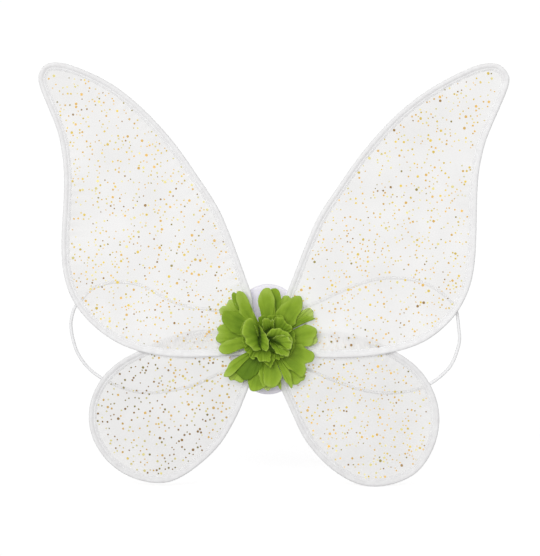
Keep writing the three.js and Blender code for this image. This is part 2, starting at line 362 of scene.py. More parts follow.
def make_floor():
    """White paper that the wings stand on, as bright as the sky behind it."""
    towards, rim = Vector(SUN_TOWARDS).normalized(), Vector(RIM_TOWARDS).normalized()
    light = SKY_LIGHT + (SUN_POWER * towards.z + RIM_POWER * rim.z) / math.pi
    material = bpy.data.materials.new("floor_white")
    material.use_nodes = True
    set_inputs(material.node_tree.nodes["Principled BSDF"], {
        "Base Color": (PAPER_WHITE, PAPER_WHITE, PAPER_WHITE, 1), "Roughness": 1.0,
        "Specular IOR Level": 0.0, "Emission Color": (1, 1, 1, 1),
        "Emission Strength": max(0.0, FLOOR_SEEN - PAPER_WHITE * light),
    })
    z = cad_box[0].z - FLOOR_GAP
    half = FLOOR_HALF
    corners = [(-half, -half, z), (half, -half, z), (half, half, z), (-half, half, z)]
    floor = bpy.data.meshes.new("floor")
    floor.from_pydata(corners, [], [(0, 1, 2, 3)])
    floor.materials.append(material)
    thing = bpy.data.objects.new("floor", floor)
    collection.objects.link(thing)
    thing.visible_diffuse = False  # the light from below comes from the sky, as from the sides


bpy.context.scene.view_settings.view_transform = "Standard"
make_sky()
make_floor()
add_sun("main_light", SUN_TOWARDS, SUN_POWER)
add_sun("back_light", RIM_TOWARDS, RIM_POWER)


# ---------------- materials

def principled(name, roughness, sheen=0.0, metallic=0.0, alpha=1.0):
    """A new material with its shader's plain values set. Returns the material and its tree."""
    material = bpy.data.materials.new(name)
    material.use_nodes = True
    tree = material.node_tree
    shader = tree.nodes["Principled BSDF"]
    set_inputs(shader, {"Roughness": roughness, "Metallic": metallic, "Sheen Weight": sheen,
                        "Sheen Roughness": 0.4, "Alpha": alpha})
    return material, tree, shader


def math_node(tree, operation, *inputs):
    """A Math node. Each input is a socket or a number."""
    node = tree.nodes.new("ShaderNodeMath")
    node.operation = operation
    for k, value in enumerate(inputs):
        if isinstance(value, (int, float)):
            node.inputs[k].default_value = value
        else:
            tree.links.new(value, node.inputs[k])
    return node.outputs[0]


def noise_texture(tree, scale, detail=3.0, roughness=0.55):
    """3D noise; scale is the number of features in a metre."""
    place = tree.nodes.new("ShaderNodeTexCoord")
    texture = tree.nodes.new("ShaderNodeTexNoise")
    set_inputs(texture, {"Scale": scale, "Detail": detail, "Roughness": roughness})
    tree.links.new(place.outputs["Object"], texture.inputs["Vector"])
    return texture.outputs["Fac"]


def weave(tree, pitch):
    """A plain weave's height: two sets of threads at right angles, pitch metres apart."""
    place = tree.nodes.new("ShaderNodeTexCoord")
    split = tree.nodes.new("ShaderNodeSeparateXYZ")
    tree.links.new(place.outputs["Object"], split.inputs[0])
    waves = [math_node(tree, "SINE", math_node(tree, "MULTIPLY", split.outputs[axis],
                                               2 * math.pi / pitch)) for axis in ("X", "Z")]
    return math_node(tree, "MULTIPLY", *waves)


def colour_by(tree, shader, value, stops):
    """Colours the surface with a ramp between stops."""
    ramp = tree.nodes.new("ShaderNodeValToRGB")
    ramp.color_ramp.elements[0].position, ramp.color_ramp.elements[0].color = stops[0]
    ramp.color_ramp.elements[1].position, ramp.color_ramp.elements[1].color = stops[-1]
    for position, colour in stops[1:-1]:
        ramp.color_ramp.elements.new(position).color = colour
    tree.links.new(value, ramp.inputs[0])
    tree.links.new(ramp.outputs[0], shader.inputs["Base Color"])


def bump(tree, shader, height, strength, distance):
    node = tree.nodes.new("ShaderNodeBump")
    set_inputs(node, {"Strength": strength, "Distance": distance})
    tree.links.new(height, node.inputs["Height"])
    tree.links.new(node.outputs["Normal"], shader.inputs["Normal"])


def textured(name, roughness, grain, stops, relief, pitch=None, **values):
    """A material coloured by noise, with the relief of the same noise or of a weave.

    grain is the noise's scale, detail and roughness, relief the bump's strength and distance.
    """
    material, tree, shader = principled(name, roughness, **values)
    cloud = noise_texture(tree, *grain)
    colour_by(tree, shader, cloud, stops)
    bump(tree, shader, weave(tree, pitch) if pitch else cloud, *relief)
    return material


def grey(value, tint=(1.0, 1.0, 1.0)):
    return (value * tint[0], value * tint[1], value * tint[2], 1)


def mesh_fabric(name, low, high):
    stops = [(0.3, grey(low, (1.0, 0.99, 0.975))), (0.7, grey(high, (1.0, 0.992, 0.98)))]
    return textured(name, 0.6, (22, 2), stops, (0.25, 0.1 * MM), pitch=1.1 * MM,
                    sheen=0.15, alpha=0.66)


def binding_fabric(name, low, high):
    stops = [(0.3, grey(low, (1.0, 0.99, 0.995))), (0.7, grey(high))]
    return textured(name, 0.7, (160, 4), stops, (0.3, 0.08 * MM), pitch=0.7 * MM, sheen=0.15)


def thread_fabric(name, low, high):
    return textured(name, 0.6, (1800, 2), [(0.3, low), (0.7, high)], (0.4, 0.08 * MM), sheen=0.3)


def felt_fabric(name, low, middle, high, sheen):
    stops = [(0.28, low), (0.55, middle), (0.75, high)]
    material = textured(name, 0.95, (700, 6, 0.7), stops, (0.6, 0.25 * MM), sheen=sheen)
    set_inputs(material.node_tree.nodes["Principled BSDF"], {  # light spreads in the fibres
        "Subsurface Weight": 0.6, "Subsurface Radius": (1.0, 1.0, 1.1),
        "Subsurface Scale": 5 * MM,
    })
    return material


def metal(name, low, high, roughness):
    return textured(name, roughness, (600, 4), [(0.3, grey(low)), (0.7, grey(high))],
                    (0.15, 0.05 * MM), metallic=1.0)


def tone_attribute(tree):
    node = tree.nodes.new("ShaderNodeVertexColor")
    node.layer_name = "tone"
    return node.outputs["Color"]


def foil():
    """Gold foil. Each dot's colour is in the mesh's tone attribute."""
    material, tree, shader = principled("gold_foil", 0.5, metallic=0.12)
    tree.links.new(tone_attribute(tree), shader.inputs["Base Color"])
    return material


def chiffon():
    """Green chiffon. The tone attribute runs from 0 in the creases to 1 at the thin edges: painted
    shade in the creases and painted light where a single layer lets light through.
    """
    material, tree, shader = principled("green_chiffon", 0.7, sheen=0.08)
    set_inputs(shader, {"Sheen Tint": (0.75, 0.95, 0.45, 1), "Specular IOR Level": 0.18})
    tone = tone_attribute(tree)
    spread = math_node(tree, "MULTIPLY_ADD", noise_texture(tree, 90, 3), 0.35, -0.175)
    total = math_node(tree, "ADD", tone, spread)
    colour_by(tree, shader, total, [
        (0.0, (0.050, 0.115, 0.003, 1)), (0.3, (0.135, 0.245, 0.009, 1)),
        (0.6, (0.26, 0.405, 0.026, 1)), (0.82, (0.36, 0.51, 0.07, 1)),
        (1.0, (0.50, 0.62, 0.19, 1)),
    ])
    bump(tree, shader, weave(tree, 0.55 * MM), 0.25, 0.06 * MM)
    return material


# The lower wings' mesh and binding are darker copies of the same cloth: painted shade on the lower
# wings.
MESHES = {
    "upper": mesh_fabric("sheer_wing_mesh", 0.76, 0.84),
    "lower": mesh_fabric("sheer_lower_wing_mesh", 0.68, 0.76),
}
BINDINGS = {
    "upper": binding_fabric("white_edge_binding", 0.82, 0.90),
    "lower": binding_fabric("white_lower_edge_binding", 0.76, 0.84),
}
WHITE_THREAD = thread_fabric("white_thread", grey(0.78), grey(0.93))
GREEN_THREAD = thread_fabric("green_thread", (0.12, 0.24, 0.02, 1), (0.22, 0.40, 0.04, 1))
ELASTIC = textured("braided_elastic", 0.65, (900, 3),
                   [(0.3, grey(0.82, (0.985, 0.985, 1.0))), (0.7, grey(0.92))],
                   (0.35, 0.08 * MM), sheen=0.35)
FELT = felt_fabric("lavender_white_felt", (0.82, 0.78, 0.95, 1), (0.87, 0.84, 0.97, 1),
                   (0.91, 0.89, 0.98, 1), sheen=0.6)
GREEN_FELT = felt_fabric("green_felt", (0.07, 0.15, 0.005, 1), (0.12, 0.23, 0.01, 1),
                         (0.17, 0.30, 0.02, 1), sheen=0.1)
FOIL = foil()
CHIFFON = chiffon()
STEEL = metal("drawn_steel", 0.45, 0.62, 0.32)
CRIMP = metal("crimped_aluminium", 0.4, 0.55, 0.4)

for strap_side in SIDES:
    add_strap(strap_side)


# ---------------- wings

PANEL_INSIDE_WIRE = 1.6 * MM  # the CAD mesh panel's edge, inwards from the wire's centreline
SLEEVE_ENTRY = 10 * MM  # how far the root wires run straight into a sleeve
STUB_X = 21.8 * MM  # the root wires begin here, beside the fold line
RIM_STEP = 1.5 * MM
MESH_STEP = 2.6 * MM
MESH_EDGE = 3.2 * MM  # the fabric's own edge, inwards from the wire, hidden in the binding
FLAP_EDGE = 5.5 * MM  # the binding's inner edge, where the cloth begins to ripple
ROW_SHARE = 0.866  # height of a row of equal triangles

# Half of the binding's section, in millimetres: distance inwards from the wire and height.
# A roll round the wire, a stitched groove and a flap that lies on the mesh.
RIM_SECTION = (
    (5.60, 0.03), (5.30, 0.10), (4.90, 0.20), (4.50, 0.32), (4.10, 0.45), (3.60, 0.56),
    (3.20, 0.56), (2.90, 0.57), (2.55, 0.76), (2.00, 1.10), (1.40, 1.42), (0.70, 1.60),
    (-0.10, 1.64), (-0.90, 1.50), (-1.60, 1.12), (-2.00, 0.60), (-2.12, 0.0),
)
PUCKER_PITCH = 6.5 * MM
FLAP_START, FLAP_RAMP = 1.8 * MM, 2 * MM  # from here inwards the section counts as a flap
FLAP_SLACK = 0.25 * MM
FLAP_PUCKER = 0.18 * MM
ROLL_PUCKER = 0.10 * MM
STITCH_PITCH = 3.0 * MM
STITCH_LENGTH = 2.1 * MM
STITCH_RADIUS = 0.17 * MM
STITCH_INSIDE = 4.1 * MM
STITCH_LEVEL = 0.46 * MM
STITCH_SIDES = 6
# Share of a stitch's length and thickness there.
STITCH_PROFILE = ((0.0, 0.25), (0.18, 0.85), (0.5, 1.0), (0.82, 0.85), (1.0, 0.25))

DOT_DENSITY = {"upper": 0.043 / MM ** 2, "lower": 0.0375 / MM ** 2}
DOT_SPACING = 2.6 * MM
DOT_MARGIN = 6.1 * MM  # inwards from the wire
DOT_SIDES = 8
DOT_LIFT = 0.07 * MM  # half the thickness of a dot, which shows on both faces of the cloth


def panel_loop(node):
    """The CAD mesh panel's outline as (x, z) points, from its upper root corner to its lower."""
    mesh = nodes[node].data
    keys = [tuple(round(c / (0.01 * MM)) for c in vertex.co) for vertex in mesh.vertices]
    places = {}
    for key, vertex in zip(keys, mesh.vertices):
        places.setdefault(key, (vertex.co.x, vertex.co.z))
    edges = set()
    for face in mesh.polygons:
        if face.normal.y < -0.9:  # only the front face's edges are wanted
            corners = [keys[v] for v in face.vertices]
            edges.update(zip(corners, corners[1:] + corners[:1]))
    following = {a: b for a, b in edges if (b, a) not in edges}
    loop = [min(following)]
    while following[loop[-1]] != loop[0]:
        loop.append(following[loop[-1]])
    line = np.array([places[key] for key in loop])
    gaps = np.linalg.norm(np.roll(line, -1, axis=0) - line, axis=1)
    line = np.roll(line, -(int(gaps.argmax()) + 1), axis=0)
    return line if line[0, 1] > line[-1, 1] else line[::-1]


def inward_normals(points, centre):
    """Unit normals in the wing's plane that point towards the inside of the outline."""
    along = tangents(points)
    normals = np.stack([-along[:, 1], along[:, 0]], axis=1)
    middle = len(points) // 2
    towards = centre - points[middle]
    if normals[middle] @ towards < 0:
        normals = -normals
    return normals


def bezier(p0, p1, p2, p3):
    t = np.linspace(0, 1, 24)[:, None]
    return ((1 - t) ** 3 * p0 + 3 * (1 - t) ** 2 * t * p1 + 3 * (1 - t) * t ** 2 * p2
            + t ** 3 * p3)


def root_line(point, heading, wing, last):
    """The wire behind the flower, from the wing's end to its crimp sleeve."""
    low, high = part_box(f"{wing}_crimp_sleeve")
    away = -1 if last else 1
    sleeve = np.array([(low.x + high.x) / 2, (low.z + high.z) / 2])
    start = point + heading * (side_of(wing) * STUB_X - point[0]) / heading[0]
    entry = sleeve + np.array([0, away * SLEEVE_ENTRY])
    reach = np.linalg.norm(entry - start)
    return bezier(start, start + heading * reach * 0.45,
                  entry + np.array([0, away * reach * 0.35]), entry)


class Wing:
    """Lines that a wing's cloth is built on, in the wing's plane as (x, z)."""

    def __init__(self, name):
        self.name = name
        self.level = name.split("_")[0]
        self.seed = WINGS.index(name) + 1
        low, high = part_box(f"{name}_mesh")
        self.y = (low.y + high.y) / 2
        panel = panel_loop(f"{name}_mesh")
        centre = panel.mean(axis=0)
        wire = catmull_rom(panel - inward_normals(panel, centre) * PANEL_INSIDE_WIRE)
        top_heading = (wire[0] - wire[2]) / np.linalg.norm(wire[0] - wire[2])
        low_heading = (wire[-1] - wire[-3]) / np.linalg.norm(wire[-1] - wire[-3])
        whole = np.vstack([
            root_line(wire[0], top_heading, name, False)[::-1], wire,
            root_line(wire[-1], low_heading, name, True),
        ])
        self.rim = resample(whole, RIM_STEP)
        self.inward = inward_normals(self.rim, centre)
        self.lengths = arc_lengths(self.rim)

    def inset(self, distance):
        return self.rim + self.inward * distance

    def bend(self, piece, material_slot):
        """Bakes the piece's placement into its mesh."""
        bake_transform(piece)


def add_binding(wing):
    """A puckered roll round the wire with a flap on each face of the mesh."""
    half = [(n * MM, h * MM) for n, h in RIM_SECTION]
    section = half + [(n, -h) for n, h in reversed(half[:-1])]
    verts = []
    for point, inward, length in zip(wing.rim, wing.inward, wing.lengths):
        drift = 2.2 * wave_noise(wing.seed, length, 31 * MM)
        pucker = 0.5 * math.sin(2 * math.pi * length / PUCKER_PITCH + drift)
        slack = wave_noise(wing.seed + 9, length, 17 * MM)
        for n, h in section:
            flap = min(1.0, max(0.0, (n - FLAP_START) / FLAP_RAMP))
            reach = n + flap * (FLAP_SLACK * slack + FLAP_PUCKER * pucker)
            reach -= (1 - flap) * ROLL_PUCKER * pucker
            height = h * (1 + flap * 0.30 * pucker - (1 - flap) * 0.05 * pucker)
            place = point + inward * reach
            verts.append((place[0], wing.y - height, place[1]))
    faces = tube_faces(len(wing.rim), len(section), flip=side_of(wing.name) > 0)
    binding = add_object(f"{wing.name}_edge_binding", verts, faces, BINDINGS[wing.level])
    wing.bend(binding, "binding")
    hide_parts(f"{wing.name}_binding")


def capsule(start, end, radius, normal):
    """A thread's stitch between two points, thickest in the middle. Returns verts and faces."""
    axis = end - start
    across = np.cross(axis / np.linalg.norm(axis), normal)
    verts = []
    for share, thick in STITCH_PROFILE:
        centre = start + axis * share + normal * radius * 1.1 * math.sin(math.pi * share)
        verts += [centre + radius * thick * (c * across + s * normal)
                  for c, s in circle(STITCH_SIDES)]
    return verts, tube_faces(len(STITCH_PROFILE), STITCH_SIDES, flip=True)


def stitch_row(line, level, facing):
    """Stitches end to end along a line at a level, on a side that faces along Y."""
    run = resample(line, STITCH_PITCH)
    stitches = []
    normal = np.array([0.0, facing, 0.0])
    for point, tangent in zip(run[1:-1], tangents(run)[1:-1]):
        middle = np.array([point[0], level, point[1]])
        half = np.array([tangent[0], 0, tangent[1]]) * STITCH_LENGTH / 2
        stitches.append(capsule(middle - half, middle + half, STITCH_RADIUS, normal))
    return joined(stitches)


def add_seam(wing):
    """The seam that holds the binding's flaps on the mesh, on both faces of the wing."""
    verts, faces = joined(
        stitch_row(wing.inset(STITCH_INSIDE), wing.y + facing * STITCH_LEVEL, facing)
        for facing in (-1, 1)
    )
    seam = add_object(f"{wing.name}_seam_stitches", verts, faces, WHITE_THREAD)
    wing.bend(seam, "binding")


def nearest_corners(points, line):
    """Distance from each point to a finely sampled line's nearest corner, and which it is."""
    nearest = np.full(len(points), 1e9)
    which = np.zeros(len(points), int)
    for i in range(0, len(points), 2000):
        gaps = np.linalg.norm(points[i:i + 2000, None] - line[None], axis=2)
        which[i:i + 2000] = gaps.argmin(axis=1)
        nearest[i:i + 2000] = gaps.min(axis=1)
    return nearest, which


def contains(loop, points):
    """Whether each point lies inside a closed loop."""
    inside = np.zeros(len(points), bool)
    x, z = points[:, 0], points[:, 1]
    for a, b in zip(loop, np.roll(loop, -1, axis=0)):
        if a[1] != b[1]:
            where = (b[0] - a[0]) * (z - a[1]) / (b[1] - a[1]) + a[0]
            inside ^= ((a[1] > z) != (b[1] > z)) & (x < where)
    return inside


def ripple(wing, points):
    """How far the cloth stands off its plane: gathers beside the seam and slow tension folds."""
    nearest, which = nearest_corners(points, wing.inset(FLAP_EDGE))
    lengths = wing.lengths[which]
    seed = wing.seed
    offsets = np.empty(len(points))
    for i, (point, gap, length) in enumerate(zip(points, nearest, lengths)):
        gather = math.sin(2 * math.pi * length / (9 * MM) + 3 * wave_noise(seed, length, 40 * MM))
        near = math.exp(-gap / (7 * MM)) * min(1.0, gap / (1.5 * MM))
        fold = noise.noise(Vector((point[0] * 17, point[1] * 9, seed * 3.7)))
        fold += 0.5 * noise.noise(Vector((point[0] * 40, point[1] * 26, seed * 5.1)))
        calm = 1 - math.exp(-gap / (12 * MM))
        strength = 0.45 + 0.35 * wave_noise(seed + 4, length, 60 * MM)
        offsets[i] = (gather * near * strength + 1.5 * fold * calm) * MM
    return offsets


def polygon_area(loop):
    x, z = loop[:, 0], loop[:, 1]
    return abs(np.sum(x * np.roll(z, -1) - np.roll(x, -1) * z)) / 2


def add_mesh_panel(wing):
    """The sheer cloth, as one layer that ends inside the binding."""
    edge = resample(wing.inset(MESH_EDGE), MESH_STEP, closed=True)
    low, high = edge.min(axis=0), edge.max(axis=0)
    rows = int((high[1] - low[1]) / (MESH_STEP * ROW_SHARE)) + 1
    columns = int((high[0] - low[0]) / MESH_STEP) + 1
    grid = np.array([
        (low[0] + (column + 0.5 * (row % 2)) * MESH_STEP, low[1] + row * MESH_STEP * ROW_SHARE)
        for row in range(rows) for column in range(columns)
    ])
    grid = grid[contains(edge, grid)]
    clear, _ = nearest_corners(grid, edge)
    grid = grid[clear > MESH_STEP * 0.55]
    points = np.vstack([edge, grid])
    border = [(i, (i + 1) % len(edge)) for i in range(len(edge))]
    flat, _, faces, _, _, _ = delaunay_2d_cdt([Vector(p) for p in points], border, [], 1, 1e-7)
    flat = np.array([tuple(p) for p in flat])
    verts = [(p[0], wing.y + o, p[1]) for p, o in zip(flat, ripple(wing, flat))]
    panel = add_object(f"{wing.name}_sheer_mesh", verts, faces, MESHES[wing.level])
    panel.visible_shadow = False  # such open cloth lets nearly all of the light through
    wing.bend(panel, "wing_mesh")
    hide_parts(f"{wing.name}_mesh")
    return panel


# Foil colours; brown and olive are for dots painted dark as a reflection of the room.
FOIL_COLOURS = {
    "gold": (0.84, 0.62, 0.10),
    "amber": (0.84, 0.52, 0.12),
    "pale": (0.88, 0.78, 0.30),
    "brown": (0.38, 0.22, 0.06),
    "olive": (0.36, 0.29, 0.07),
}
# Share of the dots painted dark, a painted reflection of the room instead of the lamp.
PAINTED_DARK_SHARE = {"upper_left": 0.12, "upper_right": 0.10, "lower_left": 0.42, "lower_right": 0.09}
DOT_SIZE = {"upper_left": 1.0, "upper_right": 1.0, "lower_left": 1.12, "lower_right": 1.0}
LARGE_SHARE = 0.09
LARGE_RADIUS = (1.12, 1.5)  # mm
SMALL_RADIUS = (0.59, 0.47)  # mm: the least, and how much more the most is


def dot_colour(rng, wing, point):
    """Painted reflection: dots are gold, amber or pale, and in noise patches painted dark brown or
    olive, as foil that mirrors the room instead of the lamp looks.
    """
    patch = noise.noise(Vector((point[0] * 19, point[1] * 19, 4.2)))
    roll = rng.random()
    if roll < PAINTED_DARK_SHARE[wing.name] * (1 + 2.8 * patch):
        kind = "brown" if rng.random() < 0.6 else "olive"
    elif roll < 0.42:
        kind = "gold"
    elif roll < 0.76:
        kind = "amber"
    else:
        kind = "pale"
    # Random tone, and painted shade that makes every dot darker on a wing with many dark ones.
    shade = rng.uniform(0.8, 1.12) * (1 - 0.7 * PAINTED_DARK_SHARE[wing.name])
    return tuple(min(1.0, c * shade) for c in FOIL_COLOURS[kind])


def dot_places(rng, edge, wanted):
    """Random points inside the edge that keep their distance from each other."""
    low, high = edge.min(axis=0), edge.max(axis=0)
    taken, centres = {}, []
    tries = 0
    while len(centres) < wanted and tries < wanted * 30:
        tries += 1
        x, z = rng.uniform(low[0], high[0]), rng.uniform(low[1], high[1])
        cell = (int(x // DOT_SPACING), int(z // DOT_SPACING))
        around = [(cell[0] + i, cell[1] + j) for i in (-1, 0, 1) for j in (-1, 0, 1)]
        close = [taken[key] for key in around if key in taken]
        if cell in taken or any(math.dist((x, z), c) < DOT_SPACING for c in close):
            continue
        taken[cell] = (x, z)
        centres.append((x, z))
    centres = np.array(centres)
    return centres[contains(edge, centres)]


def add_foil_dots(wing, panel):
    """Thin discs of foil that lie on the rippled panel."""
    rng = random.Random(f"{wing.name} dots")
    edge = resample(wing.inset(DOT_MARGIN), MESH_STEP, closed=True)
    wanted = int(polygon_area(edge) * DOT_DENSITY[wing.level])
    surface = BVHTree.FromPolygons([v.co for v in panel.data.vertices],
                                   [p.vertices for p in panel.data.polygons])
    dots, tones = [], []
    for x, z in dot_places(rng, edge, wanted):
        centre, normal, _, _ = surface.ray_cast(Vector((x, -1, z)), Vector((0, 1, 0)))
        if centre is None:
            continue
        across = normal.cross(Vector((0, 0, 1))).normalized()
        up = across.cross(normal)
        large = rng.random() < LARGE_SHARE
        small = SMALL_RADIUS[0] + SMALL_RADIUS[1] * rng.random() ** 1.4
        radius = (rng.uniform(*LARGE_RADIUS) if large else DOT_SIZE[wing.name] * small) * MM
        tones += [dot_colour(rng, wing, (x, z))] * (2 * DOT_SIDES)
        spokes = [c * across + s * up for c, s in circle(DOT_SIDES, rng.random())]
        verts = [centre + spoke * radius + normal * level * DOT_LIFT
                 for level in (-1, 1) for spoke in spokes]
        dots.append((verts, tube_faces(2, DOT_SIDES, flip=True)))
    verts, faces = joined(dots)
    thing = add_object(f"{wing.name}_foil_dots", verts, faces, FOIL, tones=tones, smooth=False)
    wing.bend(thing, "wing_mesh")


for wing_name in WINGS:
    wing = Wing(wing_name)
    cloth = add_mesh_panel(wing)
    add_binding(wing)
    add_seam(wing)
    add_foil_dots(wing, cloth)


# ---------------- metal that stays as in CAD

for node_name, node in nodes.items():
    if "wire" in node_name or node_name.endswith("_crimp_sleeve"):
        for node_slot in node.material_slots:
            node_slot.material = STEEL if "wire" in node_name else CRIMP


# ---------------- back pad

# Bar tacks on the rear face, where the straps and the wires are sewn down.
PAD_TACKS = [(sx * x * MM, z * MM) for sx in (-1, 1) for x, z in
             ((33, 26), (20, 23), (33, -28), (20, -26), (17, 12), (10, -14))]
TACK_STITCHES = 11
TACK_PITCH = 0.44 * MM
TACK_LENGTH = 4.6 * MM
TACK_LEAN = 0.12 * MM
TACK_RADIUS = 0.17 * MM
TACK_SINK = 0.06 * MM  # how deep the stitches lie in the felt
PAD_ROUNDING = 2.0 * MM
PAD_FALL = 6 * MM  # the felt is a little thinner within this of its edge
PAD_FULLNESS = 0.98  # share of the CAD pad's thickness that the felt's highest places reach


def add_pad():
    """An oval of thick felt with a soft edge."""
    low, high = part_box("back_pad")
    half_x, half_z = (high.x - low.x) / 2, (high.z - low.z) / 2
    middle = (low.y + high.y) / 2
    half = (high.y - low.y) / 2
    sides, rings = 120, 26
    verts = []
    for facing in (-1, 1):
        for r in range(1, rings + 1):
            share = (r / rings) ** 0.8  # the rings lie closer together towards the edge
            gap = (1 - share) * (half_x + half_z) / 2
            edge = min(1.0, gap / PAD_ROUNDING)
            round_over = max(0.05, math.sqrt(max(0.0, 1 - (1 - edge) ** 2)))
            level = round_over * (1 - 0.05 * math.exp(-gap / PAD_FALL))
            for c, s in circle(sides):
                x, z = half_x * share * c, half_z * share * s
                lump = noise.noise(Vector((x * 60, facing * 3.0, z * 60))) * 0.06
                height = half * (level + lump * min(1, gap / PAD_FALL))
                verts.append((x, middle + facing * height * PAD_FULLNESS, z))
        verts.append((0, middle + facing * half * PAD_FULLNESS, 0))
    pad = add_object("felt_back_pad", verts, disc_faces(rings, sides), FELT)
    on_hub(pad, "felt", "back_pad")


def add_tacks():
    """Rows of short stitches on the pad's rear face."""
    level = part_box("back_pad")[1].y - TACK_SINK
    rear = np.array([0.0, 1.0, 0.0])
    stitches = []
    for x, z in PAD_TACKS:
        for k in range(TACK_STITCHES):
            offset = (k - (TACK_STITCHES - 1) / 2) * TACK_PITCH
            lean = TACK_LEAN * (-1) ** k
            start = np.array([x + offset - lean, level, z - TACK_LENGTH / 2])
            end = np.array([x + offset + lean, level, z + TACK_LENGTH / 2])
            stitches.append(capsule(start, end, TACK_RADIUS, rear))
    on_hub(add_object("pad_bar_tacks", *joined(stitches), WHITE_THREAD), "felt")


add_pad()
add_tacks()


# ---------------- flower

FLOWER_SIDE_X = 5 * MM  # outer petals further out than this are left off the hub
PINKING_PITCH = 0.62  # mm between the teeth's corners on a cut edge
PINKING_DEPTH = 0.19
CHIFFON_THICKNESS = 0.16 * MM


# What a layer of chiffon is like, unless its piece's style or its own values say something else.
PLAIN = {
    "rise": 1.0, "lean": 1.0, "even": 0.35, "roll": 0.0, "sides": (0.0, 0.0), "ruffle": 0.5,
    "waves": 2.0, "wobble": 0.25, "pleat": 0.45, "pleats": 3.0, "glow": 0.6,
    # The last three values paint light near the cut edge, from a share of the way out, and paint
    # shade near the gathered root.
    "rim_light": 0.22, "root_dark": 0.22, "rows": 18,
}


def fold(root, back, front, tone, rim, **more):
    """One layer of chiffon between its gathered root and its cut rim, all in millimetres.

    root holds the x and z of both ends of the line that the cloth is gathered on, rim the
    (x, z) line of its cut edge, and back and front are their depths forward of the pad's rear
    face. Tone runs from 0, deep green, to 1, where a single layer lets light through: painted light
    and shade, not the cloth's own colour.
    """
    return {"root": root, "back": back, "front": front, "tone": tone, "rim": rim, **more}


def fold_mesh(part, seed):
    """Vertices, faces and tones of one layer."""
    rim = catmull_rom(np.array(part.rim, float), 6)
    columns = max(24, int(arc_lengths(rim)[-1] / PINKING_PITCH))
    rim = resample(rim, arc_lengths(rim)[-1] / columns)
    columns = len(rim) - 1
    t = np.linspace(0, 1, columns + 1)
    root = np.array(part.root, float).reshape(2, 2)
    start = root[0] + (root[1] - root[0]) * t[:, None]
    span = rim - start
    reach = np.linalg.norm(span, axis=1)
    along = tangents(rim)
    outward = np.stack([along[:, 1], -along[:, 0]], axis=1)
    outward *= np.sign(np.sum(outward * span, axis=1).mean())
    rng = random.Random(seed)
    phase, second = rng.uniform(0, 6.28), rng.uniform(0, 6.28)

    def wave(count, shift):
        return np.sin(2 * math.pi * count * t + shift)

    pleats = np.cos(2 * math.pi * part.pleats * t + phase)
    sides = (np.clip(1 - t / 0.28, 0, 1) ** 2, np.clip((t - 0.72) / 0.28, 0, 1) ** 2)
    verts, tones = [], []
    for i in range(part.rows + 1):
        s = i / part.rows
        far = s * reach / reach.max()
        sway = part.wobble * s ** 2 * wave(part.waves * 1.7, second)
        place = start + span * (s ** part.lean) + outward * sway[:, None]
        if i == part.rows:
            teeth = np.where(np.arange(columns + 1) % 2 == 0, 1.0, -1.0)
            place = place + outward * (teeth * PINKING_DEPTH)[:, None]
        climb = (1 - part.even) * far + part.even * s
        height = part.back + (part.front - part.back) * climb ** part.rise
        height = height - part.roll * max(0.0, (s - 0.7) / 0.3) ** 2
        height = height + (part.sides[0] * sides[0] + part.sides[1] * sides[1]) * s ** 0.5
        height = height + part.ruffle * s ** 3 * wave(part.waves, phase)
        height = height + 0.35 * part.ruffle * s ** 2 * wave(part.waves * 2.3, second)
        height = height + 0.18 * s * wave(7, second)
        height = height + part.pleat * (1 - s) ** 1.3 * min(1.0, 5 * s) * pleats
        for (x, z), h in zip(place, height):
            h += 0.35 * noise.noise(Vector((x * 0.13, z * 0.13, seed * 1.7)))
            verts.append((x * MM, -h * MM, z * MM))
        # Painted light and shade: lighter towards the cut edge, darker towards the gathered root,
        # and lighter and darker across the pleats.
        rim_light = part.rim_light * max(0.0, (s - part.glow) / (1 - part.glow)) ** 1.5
        root_dark = part.root_dark * (1 - s) ** 1.6
        tones += list(part.tone + rim_light - root_dark + 0.05 * (1 - s) * pleats)
    across = columns + 1
    faces = [
        (i * across + j, i * across + j + 1, (i + 1) * across + j + 1, (i + 1) * across + j)
        for i in range(part.rows) for j in range(columns)
    ]
    return verts, faces, tones


def add_chiffon(name, style, stands_for, parts):
    """One piece of chiffon made of one or more layers, with the cloth's thickness."""
    layers = [fold_mesh(SimpleNamespace(**{**PLAIN, **style, **part}), sum(map(ord, name)) + 7 * k)
              for k, part in enumerate(parts)]
    verts, faces = joined(layer[:2] for layer in layers)
    tones = [tone for layer in layers for tone in layer[2]]
    piece = add_object(name, verts, faces, CHIFFON, tones=tones)
    thicken(piece, CHIFFON_THICKNESS)
    middle = np.mean([v[0] for v in verts])
    if abs(middle) > FLOWER_SIDE_X and name.startswith("chiffon_outer"):
        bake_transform(piece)
        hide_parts(*stands_for)
    else:
        on_hub(piece, "chiffon", *stands_for)


